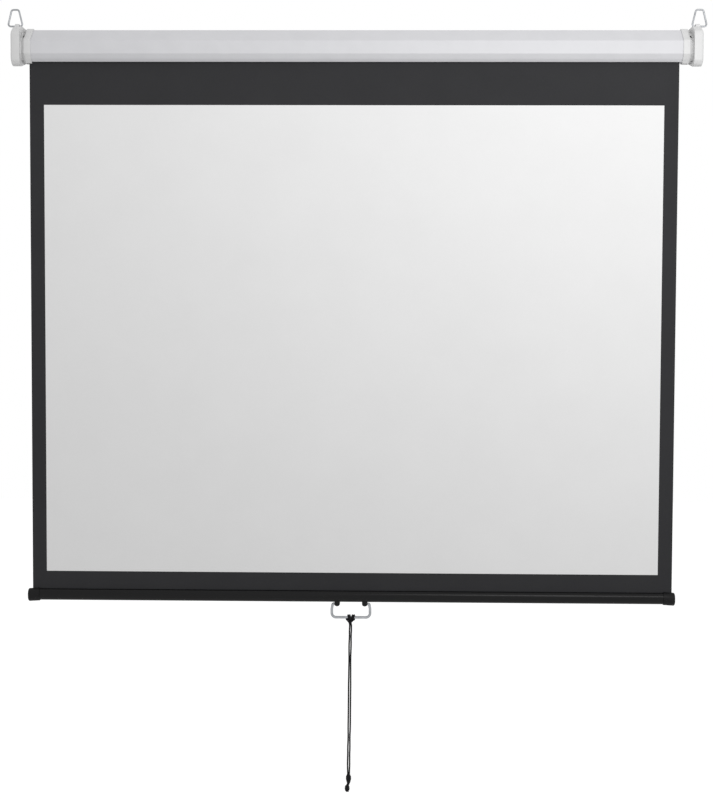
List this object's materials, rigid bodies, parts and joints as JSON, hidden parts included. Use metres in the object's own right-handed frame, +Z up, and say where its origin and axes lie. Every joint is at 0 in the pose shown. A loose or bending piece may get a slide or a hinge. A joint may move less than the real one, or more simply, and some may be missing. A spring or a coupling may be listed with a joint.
{
  "type": "pull down projector screen",
  "caption": "Manual pull-down projector screen: white case with moulded end caps and hanging rings, black-bordered white sheet, weight bar, wire handle and pull cord.",
  "frame": {"origin": "on the case's flat back, halfway along its length and height; the back lies against the wall", "axes": "+Z up, +X to the right seen from the front, -Y out of the wall towards the room"},
  "size_m": [1.3742, 0.076, 1.5571],
  "materials": {
    "case_enamel": "smooth white enamel on roll-formed sheet steel, satin gloss",
    "cap_moulding": "white injection moulding with a fine satin grain",
    "zinc_steel": "zinc-plated bent wire, soft sheen",
    "tube_steel": "drawn steel, dull",
    "spring_steel": "oiled spring wire",
    "plug_moulding": "natural nylon moulding",
    "screen_white": "matt white coated fabric with a printed black border",
    "screen_black": "black printed coated fabric",
    "bar_black": "black anodised aluminium extrusion, satin",
    "sleeve_moulding": "black injection moulding",
    "cord_black": "black braided cord, doubled"
  },
  "bodies": {
    "case": {"case_shell": "case_enamel", "end_cap_right": "cap_moulding", "end_cap_left": "cap_moulding", "cap_screw_left": "zinc_steel", "cap_screw_right": "zinc_steel", "spindle": "tube_steel", "ratchet_wheel": "tube_steel", "torsion_spring": "spring_steel", "screen_sheet": "screen_white"},
    "roller": {"roller_tube": "tube_steel", "fabric_wraps": "screen_black", "idle_plug": "plug_moulding", "idle_pin": "tube_steel", "ratchet_plug": "plug_moulding", "spring_anchor": "plug_moulding", "pawl_pin_1": "tube_steel", "pawl_pin_2": "tube_steel"},
    "upper_pawl": {"pawl_1": "tube_steel"},
    "lower_pawl": {"pawl_2": "tube_steel"},
    "bar": {"hem_strip": "screen_black", "hem_rod": "plug_moulding", "weight_bar": "bar_black", "bar_sleeve_left": "sleeve_moulding", "bar_sleeve_right": "sleeve_moulding", "handle_ear_left": "sleeve_moulding", "handle_ear_right": "sleeve_moulding"},
    "handle": {"handle_bail": "zinc_steel"},
    "cord": {"cord_hitch": "cord_black", "pull_cord": "cord_black", "cord_knot": "cord_black", "cord_tip": "cord_black"},
    "left_ring": {"hanging_ring_left": "zinc_steel"},
    "right_ring": {"hanging_ring_right": "zinc_steel"}
  },
  "joints": [
    {"name": "screen_drop", "type": "slide", "parent": "case", "child": "bar", "axis": [0, 0, 1], "range_m": [0, 1.0305], "deforming": ["screen_sheet"]},
    {"name": "roller_spin", "type": "hinge", "parent": "case", "child": "roller", "pos_m": [0, -0.0263, 0], "axis": [1, 0, 0], "range_deg": [-2701, 0]},
    {"name": "upper_pawl_swing", "type": "hinge", "parent": "roller", "child": "upper_pawl", "pos_m": [0.6434, -0.0332, 0.01195], "axis": [1, 0, 0], "range_deg": [-18, 0]},
    {"name": "lower_pawl_swing", "type": "hinge", "parent": "roller", "child": "lower_pawl", "pos_m": [0.6434, -0.0194, -0.01195], "axis": [1, 0, 0], "range_deg": [-18, 0]},
    {"name": "handle_swing", "type": "hinge", "parent": "bar", "child": "handle", "pos_m": [-0.005, -0.04682, -1.1024], "axis": [1, 0, 0], "range_deg": [-85, 85]},
    {"name": "cord_swing", "type": "hinge", "parent": "handle", "child": "cord", "pos_m": [-0.005, -0.04682, -1.1294], "axis": [1, 0, 0], "range_deg": [-70, 70]},
    {"name": "left_ring_swing", "type": "hinge", "parent": "case", "child": "left_ring", "pos_m": [-0.668, -0.04002, 0.0395], "axis": [1, 0, 0], "range_deg": [-85, 85]},
    {"name": "right_ring_swing", "type": "hinge", "parent": "case", "child": "right_ring", "pos_m": [0.668, -0.04002, 0.0395], "axis": [1, 0, 0], "range_deg": [-85, 85]}
  ],
  "couplings": [
    {"joint": "roller_spin", "follows": "screen_drop", "rad_per_m": -45.729}
  ]
}
